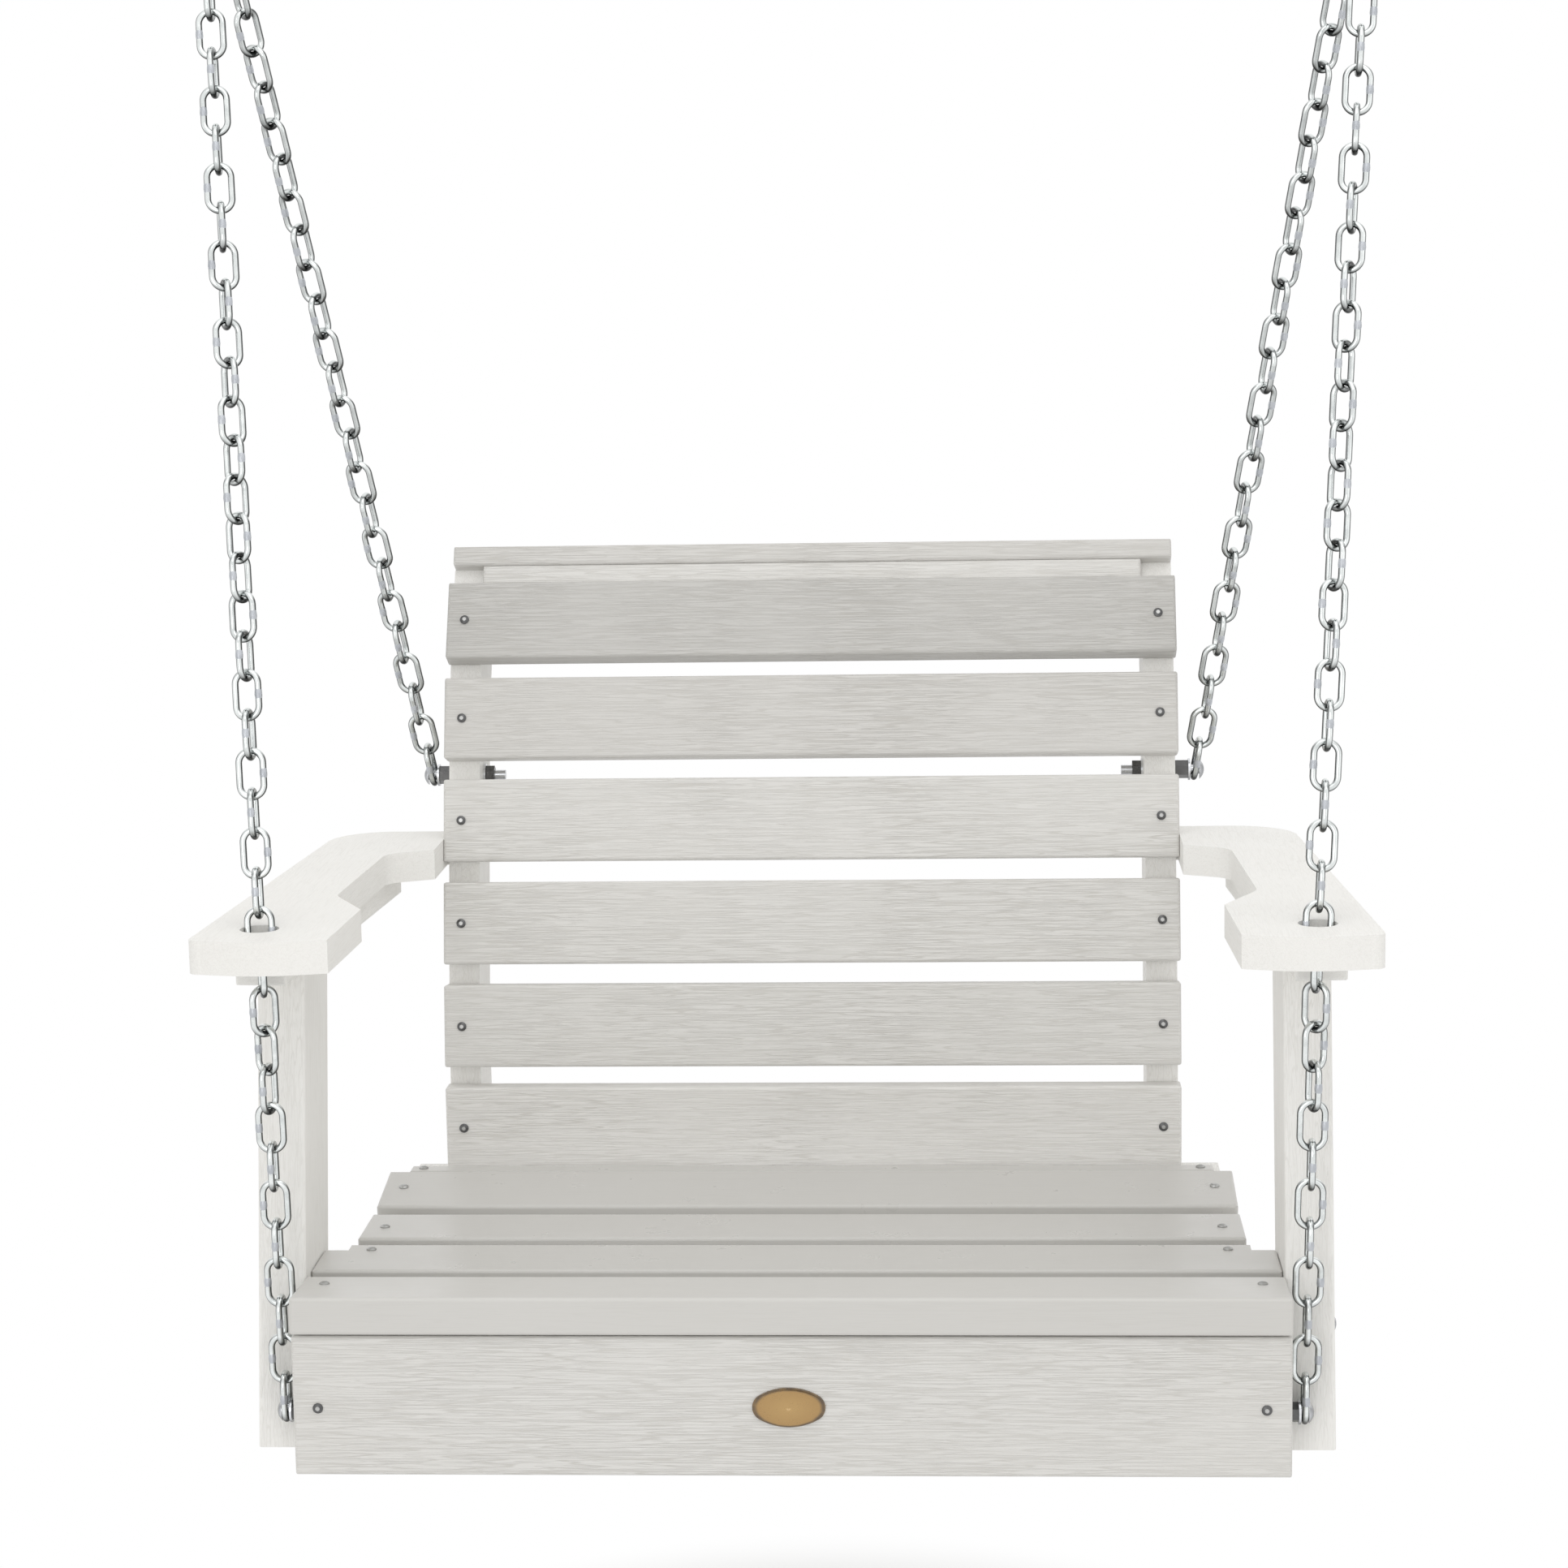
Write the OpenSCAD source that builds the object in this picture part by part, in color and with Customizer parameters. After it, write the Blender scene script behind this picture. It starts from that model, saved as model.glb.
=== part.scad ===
// Single-seat porch swing. It hangs from two ceiling hangers by four chains.
// X is across the seat, Y runs from front to back and Z is up, in millimetres.
// The origin lies on the ceiling, midway between the two hangers.

/* [Seat] */
// Length of the apron and of the front seat slat
seat_w = 710; // [640:5:760]
// Thickness of the packers between the rails and the posts
packer_t = 22; // [18:1:26]
// Thickness of a seat rail
rail_t = 36; // [30:1:42]
// Depth of a seat rail below the seat
rail_depth = 112; // [95:1:130]
// Width of each slat
slat_w = 67; // [60:1:72]
// Gap between neighbouring slats
slat_gap = 17; // [13:1:19]
// Thickness of the seat slats
seat_slat_t = 22; // [18:1:26]
// Thickness of the front seat slat
front_slat_t = 27; // [24:1:30]
// Slope of each seat slat, front one first, rising to the back
seat_tilt = [-3.5, 0, 0, 9]; // [-8:0.5:14]
// Width of the narrow batten behind the seat slats
batten_w = 18; // [14:1:22]
// Thickness of that batten
batten_t = 16; // [12:1:20]
// Height of the apron
apron_h = 103; // [90:1:120]
// Thickness of the apron
apron_t = 22; // [18:1:24]
// Radius that eases the edges of the boards
ease = 2.5; // [1:0.5:4]

/* [Back] */
// How far the back slats stand out past the uprights
back_over = 2; // [1:1:8]
// Thickness of the back slats
back_slat_t = 18; // [14:1:22]
// Lean of each back slat, lowest one first
back_lean = [0, 7, 11, 12, 16.5, 28]; // [-4:0.5:34]
// Distance from the front edge of the seat to the lowest back slat
back_y = 384; // [376:1:400]
// Height of the lowest back slat's lower edge against the front of the seat
back_z = -8; // [-12:1:4]
// Thickness of the two curved uprights
upright_t = 25; // [20:1:32]
// Depth of an upright from front to back
upright_d = 60; // [50:1:70]
// Gap between the top back slat and the cap board
cap_gap = 18; // [13:1:22]
// How far the cap board stands out past the uprights
cap_over = 0; // [0:1:16]
// Depth of the cap board
cap_d = 78; // [68:1:90]
// Thickness of the cap board
cap_t = 17; // [15:1:22]
// How far the cap board stands in front of the uprights
cap_front = 12; // [4:1:18]

/* [Arms] */
// Height of the arm tops above the front edge of the seat
arm_z = 259; // [230:1:280]
// Thickness of an arm
arm_t = 24; // [20:1:28]
// How far the arms stand out past the posts
arm_over = 27; // [20:1:34]
// Width of the front of an arm
arm_w = 99; // [90:1:105]
// Width of the narrow waist of an arm
waist_w = 66; // [56:1:72]
// Thickness of the cleat under an arm
cleat_t = 22; // [18:1:26]
// Thickness of a front post
post_t = 35; // [30:1:40]
// Width of a front post seen from the side
post_d = 90; // [80:1:95]
// Backward lean of the front posts
post_lean = 10; // [7:0.5:12]
// Distance from the seat's front edge to the front of a post, at seat height
post_y = 66; // [65:1:70]
// How far the posts reach below the front edge of the seat
post_drop = 126; // [118:1:132]

/* [Chains] */
// Wire thickness of a chain link
wire_d = 4.8; // [4.4:0.1:5.2]
// Inner length of a chain link
link_len = 28.65; // [28.25:0.1:29.05]
// Inner width of a chain link
link_in = 12.6; // [12:0.1:13.4]
// Play between neighbouring links
link_play = 0.25; // [0.15:0.05:0.4]
// Links in a front chain above the arm
links_high = 28; // [26:2:30]
// Links in a rear chain
links_rear = 27; // [25:2:29]
// Hole for the chain in an arm
hole_d = 28; // [26:1:32]
// Thickness of the chain bolts
bolt_d = 8; // [7:0.5:8]

/* [Hangers] */
// Distance between the two ceiling hangers
hanger_span = 850; // [800:5:900]
// Thickness of a hanger's shank and eye
hanger_d = 10; // [8:0.5:12]
// Inner width of a hanger's eye
eye_in = 26; // [22:1:32]
// Length of the shank above the ceiling
shank_len = 70; // [50:5:90]
// Wire thickness of the ring that joins two chains
ring_d = 8; // [7:0.5:9]
// Inner width of that ring
ring_in = 40; // [36:1:46]

/* [Badge] */
// Width of the oval badge on the apron
badge_w = 52; // [40:1:60]
// Height of the badge
badge_h = 29; // [24:1:34]
// How far the middle of the badge stands out
badge_dome = 3; // [2:0.5:4]

/* [Hidden] */
$fn = 48;
fit = 0.3; // clearance of a loose part from its neighbour
hair = 0.1; // closeness of parts that touch

// Slopes run forward along [y, z]; leans turn away from the vertical.
function up(p, lean, d) = [p[0] + d * sin(lean), p[1] + d * cos(lean)];
function behind(p, lean, d) = [p[0] + d * cos(lean), p[1] - d * sin(lean)];
function run(p, slope, d) = [p[0] + d * cos(slope), p[1] + d * sin(slope)];
function under(p, slope, d) = [p[0] + d * sin(slope), p[1] - d * cos(slope)];
function mean(list, i) = (list[i] + list[i + 1]) / 2;
function mid(a, b) = (a + b) / 2;

// Frame widths
frame_x = seat_w / 2;
rail_x = frame_x - packer_t;
rail_in = rail_x - rail_t;
post_in = frame_x;

// Front edge of each seat slat's top, and its far edge
seats = len(seat_tilt);
function seat_front(k) = k == 0 ? [0, 0]
    : run(seat_rear(k - 1), mean(seat_tilt, k - 1), slat_gap);
function seat_rear(k) = run(seat_front(k), seat_tilt[k], slat_w);
function seat_t(k) = k == 0 ? front_slat_t : seat_slat_t;
batten_gap = 14;
batten_drop = 4;
batten_y = seat_rear(seats - 1)[0] + batten_gap;
batten_z = seat_rear(seats - 1)[1] - batten_drop;

// Lower front edge of each back slat, and its upper one
backs = len(back_lean);
function back_low(k) = k == 0 ? [back_y, back_z]
    : up(back_high(k - 1), mean(back_lean, k - 1), slat_gap);
function back_high(k) = up(back_low(k), back_lean[k], slat_w);

// Uprights: the front follows the backs of the slats
upright_foot = -82;
upright_front = concat(
    [[back_y + back_slat_t, upright_foot]],
    [for (k = [0:backs - 1]) for (p = [back_low(k), back_high(k)])
        behind(p, back_lean[k], back_slat_t)],
    [up(behind(back_high(backs - 1), back_lean[backs - 1], back_slat_t),
        back_lean[backs - 1], cap_gap)]);
upright_leans = concat([0], [for (k = [0:backs - 1]) for (i = [0, 1]) back_lean[k]],
    [back_lean[backs - 1]]);
upright_rear = [for (i = [0:len(upright_front) - 1])
    behind(upright_front[i], upright_leans[i], upright_d)];
upright_out = rail_in - hair;
upright_in = upright_out - upright_t;
back_len = 2 * (upright_out + back_over + hair);
cap_len = 2 * (upright_out + cap_over + hair);
cap_base = up(back_high(backs - 1), back_lean[backs - 1], cap_gap);

// Apron
apron_y = 2;
apron_gap = 2;
apron_rear = apron_y + apron_t;
apron_top = -front_slat_t - apron_gap;
apron_mid = apron_top - apron_h / 2;

// Posts
post_top = arm_z - arm_t - cleat_t;
function post_front(z) = post_y + z * tan(post_lean);
post_out = post_in + post_t;

// Arms, half of the plan, from the front corner round to the waist
arm_x = post_out + arm_over;
arm_in = arm_x - arm_w;
arm_front = -2;
arm_rear = 458;
arm_taper = 24;
waist_start = 170;
waist_end = 350;
notch_front = 114;
notch_rear = 368;
waist_in = arm_x - 9 - waist_w;
function arc(c, r, from, to, n) = [for (i = [0:n])
    [c[0] + r * cos(from + (to - from) * i / n), c[1] + r * sin(from + (to - from) * i / n)]];
function toward(p, q, d) = p + d * (q - p) / norm(q - p);
function soft_corner(a, p, b, d) = [for (i = [0:5]) let (t = i / 5)
    (1 - t) * (1 - t) * toward(p, a, d) + 2 * t * (1 - t) * p + t * t * toward(p, b, d)];
arm_bow = 9;
arm_corner = 9;
waist_slope = 7;
waist_back = [waist_in - waist_slope, waist_end];
waist_fore = [waist_in, waist_start];
arm_heel = 48;
arm_slat = behind(back_low(3), back_lean[3], back_slat_t);
arm_step = arm_slat[0] + (arm_z - arm_slat[1]) * tan(back_lean[3]) + 1;
arm_end = back_len / 2 + hair;
arm_plan = concat(
    [[arm_in, arm_front + 3]],
    [for (i = [1:9]) [arm_in + arm_w * i / 10, arm_front + 3 - arm_bow * sin(18 * i)]],
    arc([arm_x - arm_corner, arm_front + arm_corner], arm_corner, -80, 0, 6),
    arc([arm_x - arm_taper - arm_heel, arm_rear - arm_heel], arm_heel, 0, 90, 12),
    [[upright_out + hair, arm_rear], [upright_out + hair, arm_step], [arm_end, arm_step]],
    [[arm_end, notch_rear]],
    soft_corner([arm_end, notch_rear], waist_back, waist_fore, 13),
    soft_corner(waist_back, waist_fore, [arm_in - 4, notch_front], 8),
    [[arm_in - 4, notch_front]]);

// Cleats run back from the posts, turned a little inwards
cleat_w = 38;
cleat_out = 5;
cleat_front = 62;
cleat_len = 366;
cleat_turn = 3.7;
cleat_screw_spots = [for (f = [0.42, 0.66, 0.9]) f * cleat_len];
module on_cleat() {
    translate([frame_x + cleat_out, cleat_front, arm_z - arm_t]) rotate([0, 0, cleat_turn])
        translate([cleat_w / 2, 0, 0]) children();
}

// Chain bolts
spacer_front = 7;
spacer_rear = 12;
washer_t = 1.6;
washer_r = 9;
bolt_head_t = 4;
bolt_head_r = 8;
nut_t = 7;
nut_r = 13 / sqrt(3);
bolt_y = 37;
bolt_z = -95;
front_link_x = frame_x + spacer_front + washer_t + wire_d / 2 + 2 * fit;
rear_gap = mid(back_high(3), back_low(4));
rear_bolt = behind(rear_gap, mean(back_lean, 3), back_slat_t + upright_d / 2);
rear_play = 1.4;
rear_link_x = upright_out + spacer_rear + washer_t + wire_d / 2 + rear_play;

// Chain routes: bolt, bend in the arm's hole, ring
pitch = link_len - link_play;
link_out = link_in + 2 * wire_d;
hole_out = 19;
hole_x = frame_x + hole_out;
hole_y = 42;
bend_y = hole_y + hole_d / 2 - link_out / 2 - fit;
front_bolt = [front_link_x, bolt_y, bolt_z];
links_low = 12;
low_reach = links_low * pitch - bolt_d / 2;
bend = [hole_x, bend_y, bolt_z + sqrt(pow(low_reach, 2)
    - pow(hole_x - front_link_x, 2) - pow(bend_y - bolt_y, 2))];
back_bolt = [rear_link_x, rear_bolt[0], rear_bolt[1]];

// The ring hangs in the eye; both chains pull through its centre.
ring_drop = (ring_in - hanger_d) / 2 - fit - hair;
ring_play = 0.5;
ring_lean = 6.3;
ring_x = hanger_span / 2 - ring_drop * sin(ring_lean);
high_reach = links_high * pitch + ring_in / 2 - ring_play;
rear_reach = links_rear * pitch - bolt_d / 2 + ring_in / 2 - ring_play;
high_sq = pow(high_reach, 2) - pow(ring_x - bend[0], 2);
rear_sq = pow(rear_reach, 2) - pow(ring_x - back_bolt[0], 2);
feet = [back_bolt[1] - bend[1], back_bolt[2] - bend[2]];
feet_sq = feet * feet;
along = (high_sq - rear_sq + feet_sq) / (2 * feet_sq);
rise = sqrt(high_sq / feet_sq - along * along);
ring_at = [bend[1] + along * feet[0] - rise * feet[1],
    bend[2] + along * feet[1] + rise * feet[0]];
ring_point = [ring_x, ring_at[0], ring_at[1]];

// Hangers
eye_r = (eye_in + hanger_d) / 2;
neck_len = 12;
eye_z = -(eye_r + hanger_d / 2 + neck_len);
pivot_z = eye_z - eye_r;
ring_z = pivot_z - ring_drop * cos(ring_lean);

// Screws
screw_r = 1.9;
screw_bore = screw_r + hair / 2;
head_r = 3.7;
head_t = 2.2;
screw_len = 46;
seat_screw_x = rail_x - rail_t / 2 + 4;
seat_screw_y = [43, 53, 30, 36];
front_screw_x = rail_x + 4;
back_screw_x = upright_out - upright_t / 2;

board_colour = "#e2e0dc";
zinc_colour = "#b9c0c6";
screw_colour = "#6d6f70";
badge_colour = "#a8894f";

// Puts the seat's own frame under the hinge line, tilted as it hangs
balance_y = 258.9;
balance_z = 136.7;
hang_tilt = -atan2(balance_y - ring_at[0], ring_at[1] - balance_z);
module hung() {
    translate([0, 0, ring_z]) rotate([hang_tilt, 0, 0])
        translate([0, -ring_at[0], -ring_at[1]]) children();
}
module pair() {
    children();
    mirror([1, 0, 0]) children();
}
module side(s) {
    mirror([s < 0 ? 1 : 0, 0, 0]) children();
}

// Flat outline with rounded corners
module eased(w, h, r) {
    square([w - 2 * r, h], center = true);
    square([w, h - 2 * r], center = true);
    for (x = [-1, 1], y = [-1, 1]) translate([x * (w / 2 - r), y * (h / 2 - r)]) circle(r);
}
// Board with all its edges eased: x long, y wide, z thick, top face at z = 0
module board(x, y, z) {
    translate([0, y / 2, -z / 2]) intersection() {
        linear_extrude(z, center = true) eased(x, y, ease);
        rotate([90, 0, 0]) linear_extrude(y, center = true) eased(x, z, ease);
        rotate([90, 0, 90]) linear_extrude(x, center = true) eased(y, z, ease);
    }
}
// Panel cut to a [y, z] outline, its inner face at x
module panel(x, t, outline) {
    translate([x, 0, 0]) rotate([90, 0, 90]) linear_extrude(t) polygon(outline);
}
// Bar along X through a [y, z] point
module bar(x1, x2, p, r) {
    translate([x1, p[0], p[1]]) rotate([0, 90, 0]) cylinder(h = x2 - x1, r = r);
}

// Chain link along Z from joint to joint, its width along X
module link() {
    bend_r = (link_in + wire_d) / 2;
    straight = link_len - link_in;
    for (s = [-1, 1]) {
        translate([s * bend_r, 0, 0])
            cylinder(h = straight, r = wire_d / 2, center = true);
        translate([0, 0, s * straight / 2]) rotate([s * 90, 0, 0])
            rotate_extrude(angle = 180) translate([bend_r, 0]) circle(wire_d / 2);
    }
}
// Run of links from one point towards another, the first one starting `from` along it.
// Each link stands square to the last; `twist` pairs a link with the turn gained by there.
function turn(i, first, twist) = first + 90 * i + lookup(i, twist);
module chain_run(a, b, from, links, first, twist) {
    d = b - a;
    n = norm(d);
    translate(a) rotate([atan2(-d[1], d[2]), 0, 0]) rotate([0, asin(d[0] / n), 0])
        for (i = [0:links - 1]) translate([0, 0, from + (i + 0.5) * pitch])
            rotate([0, 0, turn(i, first, twist)]) link();
}
module front_chain() {
    color(zinc_colour) hung() {
        chain_run(front_bolt, bend, -bolt_d / 2, links_low, 90,
            [[links_low - 5, 0], [links_low, 90]]);
        chain_run(bend, ring_point, 0, links_high, 0, [[4, 0], [21, 90]]);
    }
}
module rear_chain() {
    color(zinc_colour) hung()
        chain_run(back_bolt, ring_point, -bolt_d / 2, links_rear, 90,
            [[0, 0], [links_rear - 6, 30], [links_rear - 1, 90]]);
}
module ring() {
    color(zinc_colour) translate([ring_x, 0, ring_z]) rotate([0, ring_lean, 0])
        rotate([0, 90, 0]) rotate_extrude()
            translate([(ring_in + ring_d) / 2, 0]) circle(ring_d / 2);
}
// Screw eye with a thinner neck below the ceiling and a cut thread above it
thread_pitch = 3.2;
thread_depth = 0.9;
plain_len = 18;
shank_drop = 3;
neck_cut = 0.5;
module hanger() {
    threads = floor((shank_len - plain_len - hanger_d) / thread_pitch);
    color(zinc_colour) translate([hanger_span / 2, 0, 0]) union() {
        translate([0, 0, eye_z]) rotate([90, 0, 0]) rotate_extrude()
            translate([eye_r, 0]) circle(hanger_d / 2);
        translate([0, 0, eye_z + eye_r])
            cylinder(h = -eye_z - eye_r, r = hanger_d / 2 - neck_cut);
        translate([0, 0, -shank_drop])
            cylinder(h = plain_len + shank_drop, r = hanger_d / 2);
        rotate_extrude() polygon(concat([[0, plain_len - 1]],
            [for (i = [0:threads - 1]) for (p = [[0, 0], [1, 0.5]])
                [hanger_d / 2 - (1 - p[0]) * thread_depth,
                    plain_len - 1 + (i + p[1]) * thread_pitch]],
            [[hanger_d / 2 - thread_depth, plain_len - 1 + threads * thread_pitch],
             [0.4, shank_len], [0, shank_len]]));
    }
}

// Bolt along X: domed head outside, shank inwards
module chain_bolt(p, head_x, end_x) {
    bar(end_x, head_x, p, bolt_d / 2 - hair);
    translate([head_x, p[0], p[1]]) rotate([0, 90, 0]) intersection() {
        cylinder(h = bolt_head_t, r = bolt_head_r);
        translate([0, 0, bolt_head_t - 10.4]) sphere(10.4);
    }
}
front_pin = [bolt_y, bolt_z];
front_end_x = rail_in - nut_t - 8;
rear_end_x = upright_in - washer_t - nut_t - 9;
module front_chain_bolts() {
    color(zinc_colour) hung() pair()
        chain_bolt(front_pin, front_link_x + wire_d / 2 + fit, front_end_x);
}
module rear_chain_bolts() {
    color(zinc_colour) hung() pair()
        chain_bolt(rear_bolt, rear_link_x + wire_d / 2 + rear_play, rear_end_x);
}
module tube(x1, x2, p, r, bore) {
    difference() {
        bar(x1, x2, p, r);
        bar(x1 - 1, x2 + 1, p, bore);
    }
}
module bolt_spacers() {
    color(zinc_colour) hung() pair() {
        hex_tube(frame_x, frame_x + spacer_front, front_pin);
        hex_tube(upright_out, upright_out + spacer_rear, rear_bolt);
    }
}
module hex_tube(x1, x2, p) {
    difference() {
        translate([x1, p[0], p[1]]) rotate([0, 90, 0])
            cylinder(h = x2 - x1, r = nut_r, $fn = 6);
        bar(x1 - 1, x2 + 1, p, bolt_d / 2);
    }
}
module bolt_washers() {
    color(zinc_colour) hung() pair() {
        tube(frame_x + spacer_front, frame_x + spacer_front + washer_t, front_pin,
            washer_r, bolt_d / 2);
        tube(upright_out + spacer_rear, upright_out + spacer_rear + washer_t, rear_bolt,
            washer_r, bolt_d / 2);
        tube(rail_in - washer_t, rail_in, front_pin, washer_r, bolt_d / 2);
        tube(upright_in - washer_t, upright_in, rear_bolt,
            washer_r, bolt_d / 2);
    }
}
module bolt_nuts() {
    color(zinc_colour) hung() pair() {
        hex_tube(rail_in - washer_t - nut_t, rail_in - washer_t, front_pin);
        hex_tube(upright_in - washer_t - nut_t,
            upright_in - washer_t, rear_bolt);
    }
}

// Seat rail: its top follows the undersides of the slats
rail_end = 480;
rail_end_r = 26;
rail_end_top = -24;
rail_tail = -86;
rail_start = under(seat_front(0), seat_tilt[0], front_slat_t);
rail_top = concat(
    [run(rail_start, seat_tilt[0], (apron_rear - rail_start[0]) / cos(seat_tilt[0])),
     under(seat_rear(0), seat_tilt[0], front_slat_t)],
    [for (k = [1:seats - 1]) for (p = [seat_front(k), seat_rear(k)])
        under(p, seat_tilt[k], seat_slat_t)]);
module rail_bores(x1, x2) {
    bar(x1, x2, front_pin, bolt_d / 2);
    for (p = post_bolt_spots) bar(x1, x2, p, bolt_d / 2);
}
module seat_rail() {
    outline = concat([[apron_rear, -rail_depth]], rail_top,
        [[batten_y, batten_z - batten_t], [batten_y + batten_w, batten_z - batten_t],
         [back_y - 4, rail_end_top]],
        arc([rail_end - rail_end_r, rail_end_top - rail_end_r], rail_end_r, 90, 0, 8),
        arc([rail_end - rail_end_r, rail_tail + rail_end_r], rail_end_r, 0, -80, 8),
        [[back_y - 60, -rail_depth]]);
    color(board_colour) hung() difference() {
        panel(rail_in, rail_t, outline);
        rail_bores(rail_in - 1, rail_x + 1);
        for (p = upright_bolt_spots) bar(rail_in - 1, rail_x + 1, p, bolt_d / 2);
        for (k = [1:seats - 1]) seat_screw(k, screw_bore, false);
        batten_screw(screw_bore, false);
    }
}
// Packer that stands the post off the rail
packer_rear = 135;
module packer() {
    outline = [[apron_rear, -rail_depth], rail_top[0], rail_top[1], rail_top[2],
        run(rail_top[2], seat_tilt[1], (packer_rear - rail_top[2][0]) / cos(seat_tilt[1])),
        [packer_rear, -rail_depth]];
    color(board_colour) hung() difference() {
        panel(rail_x, packer_t, outline);
        rail_bores(rail_x - 1, frame_x + 1);
        seat_screw(0, screw_bore, false);
        apron_screw(screw_bore, false);
    }
}

// Post: leaning board, cut level at both ends
post_mid_z = -rail_depth / 2 - 12;
post_bolt_spots = [for (s = [-1, 1]) [post_front(post_mid_z + s * 22)
    + post_d / 2 / cos(post_lean) - s * 14, post_mid_z + s * 22]];
module post() {
    tall = 2 * (arm_z + post_drop);
    color(board_colour) hung() difference() {
        intersection() {
            translate([post_in + post_t / 2, post_y, 0]) rotate([-post_lean, 0, 0])
                translate([0, post_d / 2, 0]) linear_extrude(tall, center = true)
                    eased(post_t, post_d, ease);
            translate([post_in - 1, -50, -post_drop])
                cube([post_t + 2, tall, post_top + post_drop]);
        }
        for (p = post_bolt_spots) bar(post_in - 1, post_out + 1, p, bolt_d / 2);
    }
}
// Domed bolts through post, packer and rail
module post_bolts() {
    color(zinc_colour) hung() pair() for (p = post_bolt_spots) {
        chain_bolt(p, post_out, rail_in - washer_t - nut_t - 3);
        hex_tube(rail_in - washer_t - nut_t, rail_in - washer_t, p);
        tube(rail_in - washer_t, rail_in, p, washer_r, bolt_d / 2);
    }
}

// Curved upright of the back
upright_bolt_spots = [for (z = [-42, -72]) [back_y + back_slat_t + upright_d / 2, z]];
module upright() {
    outline = concat(upright_front,
        [for (i = [len(upright_rear) - 1:-1:0]) upright_rear[i]]);
    color(board_colour) hung() difference() {
        panel(upright_in, upright_t, outline);
        for (p = concat([rear_bolt], upright_bolt_spots))
            bar(upright_in - 1, upright_out + 1, p, bolt_d / 2);
        for (k = [0:backs - 1]) back_screw(k, screw_bore, false);
        arm_end_screw(screw_bore, false);
        cap_upright_screw(screw_bore, false);
    }
}
module upright_bolts() {
    color(zinc_colour) hung() pair() for (p = upright_bolt_spots) {
        chain_bolt(p, rail_x, upright_in - washer_t - nut_t - 3);
        hex_tube(upright_in - washer_t - nut_t, upright_in - washer_t, p);
        tube(upright_in - washer_t, upright_in, p, washer_r, bolt_d / 2);
    }
}

// Pan-head screw along Z, its head below z = 0
module screw(r, length, head) {
    cylinder(h = length, r = r);
    if (head) translate([0, 0, -head_t]) difference() {
        intersection() {
            cylinder(h = head_t, r = head_r);
            translate([0, 0, 5.8]) sphere(5.8);
        }
        translate([0, 0, -1]) cylinder(h = 2, r = 1.4, $fn = 4);
    }
}
// Moves to a [y, z] point and turns to a slope
module on_slope(p, slope) {
    translate([0, p[0], p[1]]) rotate([slope, 0, 0]) children();
}
module seat_screw(k, r, head) {
    on_slope(seat_front(k), seat_tilt[k])
        translate([k == 0 ? front_screw_x : seat_screw_x, seat_screw_y[k], 0])
            rotate([180, 0, 0]) screw(r, screw_len, head);
}
module batten_screw(r, head) {
    translate([rail_in + rail_t * 0.4, batten_y + batten_w / 2, batten_z]) rotate([180, 0, 0])
        screw(r, screw_len, head);
}
module apron_screw(r, head) {
    translate([front_screw_x, apron_y, apron_mid - 1.5]) rotate([-90, 0, 0])
        screw(r, screw_len, head);
}
module back_screw(k, r, head) {
    on_slope(back_low(k), 90 - back_lean[k]) translate([back_screw_x, slat_w / 2, 0])
        rotate([180, 0, 0]) screw(r, screw_len, head);
}
module arm_screw(r, head) {
    on_cleat() for (y = cleat_screw_spots)
        translate([0, y, -cleat_t]) screw(r, cleat_t + arm_t - 6, head);
}
module arm_end_screw(r, head) {
    translate([upright_in, mid(arm_step, arm_rear), arm_z - arm_t / 2])
        rotate([0, 90, 0]) screw(r, upright_t + 30, head);
}
module cap_screw(x, y, r, head) {
    on_slope(cap_base, -back_lean[backs - 1]) translate([x, back_slat_t + y, cap_t])
        rotate([180, 0, 0]) screw(r, screw_len, head);
}
module cap_upright_screw(r, head) {
    for (y = [15, upright_d - 15]) cap_screw(back_screw_x, y, r, head);
}
module cap_rail_screw(r, head) {
    cap_screw(140, top_rail_t / 2, r, head);
}

// Arm with its chain hole, and the cleat that stiffens it
module arm() {
    color(board_colour) hung() difference() {
        translate([0, 0, arm_z - arm_t]) linear_extrude(arm_t) polygon(arm_plan);
        translate([hole_x, hole_y, arm_z - arm_t - 1]) cylinder(h = arm_t + 2, r = hole_d / 2);
        arm_screw(screw_bore, false);
        arm_end_screw(screw_bore, false);
    }
}
module cleat() {
    color(board_colour) hung() difference() {
        on_cleat() board(cleat_w, cleat_len, cleat_t);
        arm_screw(screw_bore, false);
    }
}
module arm_screws() {
    color(screw_colour) hung() pair() {
        arm_screw(screw_r, true);
        arm_end_screw(screw_r, true);
    }
}

// Boards across the seat
module apron() {
    color(board_colour) hung() difference() {
        translate([0, apron_y, apron_top]) board(seat_w, apron_t, apron_h);
        pair() apron_screw(screw_bore, false);
    }
}
module apron_screws() {
    color(screw_colour) hung() pair() apron_screw(screw_r, true);
}
module seat_slat(k, length, t) {
    color(board_colour) hung() difference() {
        on_slope(seat_front(k), seat_tilt[k]) board(length, slat_w, t);
        pair() seat_screw(k, screw_bore, false);
    }
}
module front_slat() {
    seat_slat(0, seat_w, front_slat_t);
}
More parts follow.
